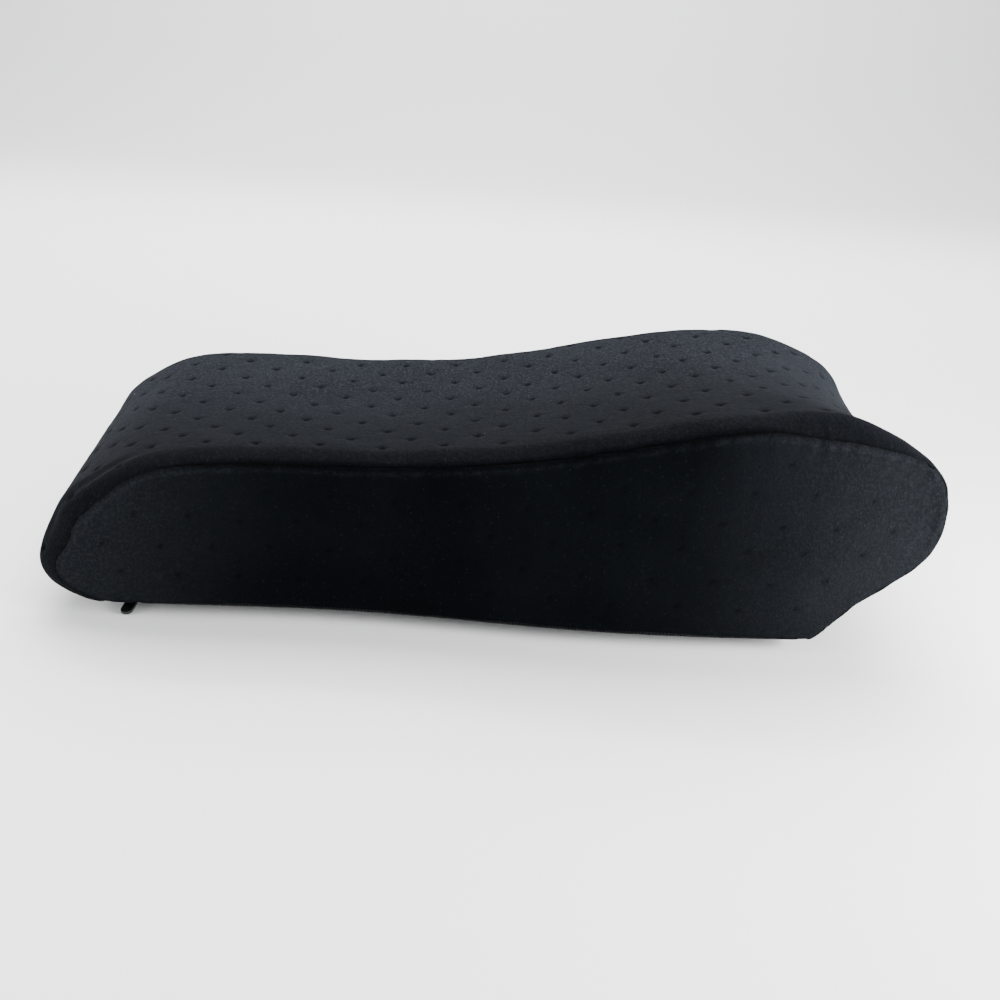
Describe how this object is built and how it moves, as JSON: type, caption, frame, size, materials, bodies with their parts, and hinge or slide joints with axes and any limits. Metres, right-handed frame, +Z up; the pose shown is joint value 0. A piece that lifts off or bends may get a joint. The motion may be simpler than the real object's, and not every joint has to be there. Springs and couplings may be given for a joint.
{
  "type": "chair armrest pad",
  "caption": "Contoured foam armrest pad in a dimpled velvet cover, low at one end and high at the other, with an end zip and fold-over straps below.",
  "frame": {"origin": "under the middle of the pad, on the surface it rests on", "axes": "+X along the pad towards its high end, +Y towards the far side, +Z up"},
  "size_m": [0.2506, 0.1088, 0.0669],
  "materials": {
    "velvet": "short charcoal pile, soft sheen",
    "underside_cloth": "plain woven charcoal cloth",
    "foam": "open-cell polymer foam",
    "zip_tape": "woven black tape",
    "zip_coil": "black nylon coil",
    "zip_metal": "black lacquered",
    "webbing": "black elastic webbing",
    "hook_tape": "black hook tape",
    "loop_tape": "black loop pile",
    "label": "blank satin label"
  },
  "bodies": {
    "pad": {"cover_top_wrap": "velvet", "cover_underside": "underside_cloth", "side_panel_near": "velvet", "side_panel_far": "velvet", "foam_core": "foam", "zip_tab_near": "velvet", "zip_tab_far": "velvet", "zip_tape_end": "zip_tape", "zip_tape_underside": "zip_tape", "zip_coil_end": "zip_coil", "zip_coil_underside": "zip_coil", "zip_stop_near": "zip_metal", "zip_stop_far": "zip_metal", "strap_anchor_far_low_end": "webbing", "strap_anchor_near_low_end": "webbing", "strap_anchor_far_high_end": "webbing", "strap_anchor_near_high_end": "webbing", "care_label": "label"},
    "zip_slider": {"zip_slider": "zip_metal"},
    "zip_pull": {"zip_pull": "zip_metal"},
    "long_strap_low_end": {"strap_long_low_end": "webbing", "hook_patch_low_end": "hook_tape"},
    "short_strap_low_end": {"strap_short_low_end": "webbing", "loop_patch_low_end": "loop_tape"},
    "long_strap_high_end": {"strap_long_high_end": "webbing", "hook_patch_high_end": "hook_tape"},
    "short_strap_high_end": {"strap_short_high_end": "webbing", "loop_patch_high_end": "loop_tape"}
  },
  "joints": [
    {"name": "zip_slide", "type": "slide", "parent": "pad", "child": "zip_slider", "axis": [0, 1, 0], "range_m": [0, 0.071]},
    {"name": "zip_pull_swing", "type": "hinge", "parent": "zip_slider", "child": "zip_pull", "pos_m": [-0.09132, -0.037, 0.00215], "axis": [1, 0, 0], "range_deg": [0, 165]},
    {"name": "long_strap_open_low_end", "type": "hinge", "parent": "pad", "child": "long_strap_low_end", "pos_m": [-0.04932, 0.036, 0.00245], "axis": [1, 0, 0], "range_deg": [0, 95]},
    {"name": "short_strap_open_low_end", "type": "hinge", "parent": "pad", "child": "short_strap_low_end", "pos_m": [-0.04932, -0.038, 0.00245], "axis": [-1, 0, 0], "range_deg": [0, 60]},
    {"name": "long_strap_open_high_end", "type": "hinge", "parent": "pad", "child": "long_strap_high_end", "pos_m": [0.05468, 0.036, 0.00245], "axis": [1, 0, 0], "range_deg": [0, 95]},
    {"name": "short_strap_open_high_end", "type": "hinge", "parent": "pad", "child": "short_strap_high_end", "pos_m": [0.05468, -0.038, 0.00245], "axis": [-1, 0, 0], "range_deg": [0, 60]}
  ],
  "couplings": [
    {"joint": "short_strap_open_low_end", "follows": "long_strap_open_low_end", "ratio": 0.45},
    {"joint": "short_strap_open_high_end", "follows": "long_strap_open_high_end", "ratio": 0.45}
  ]
}
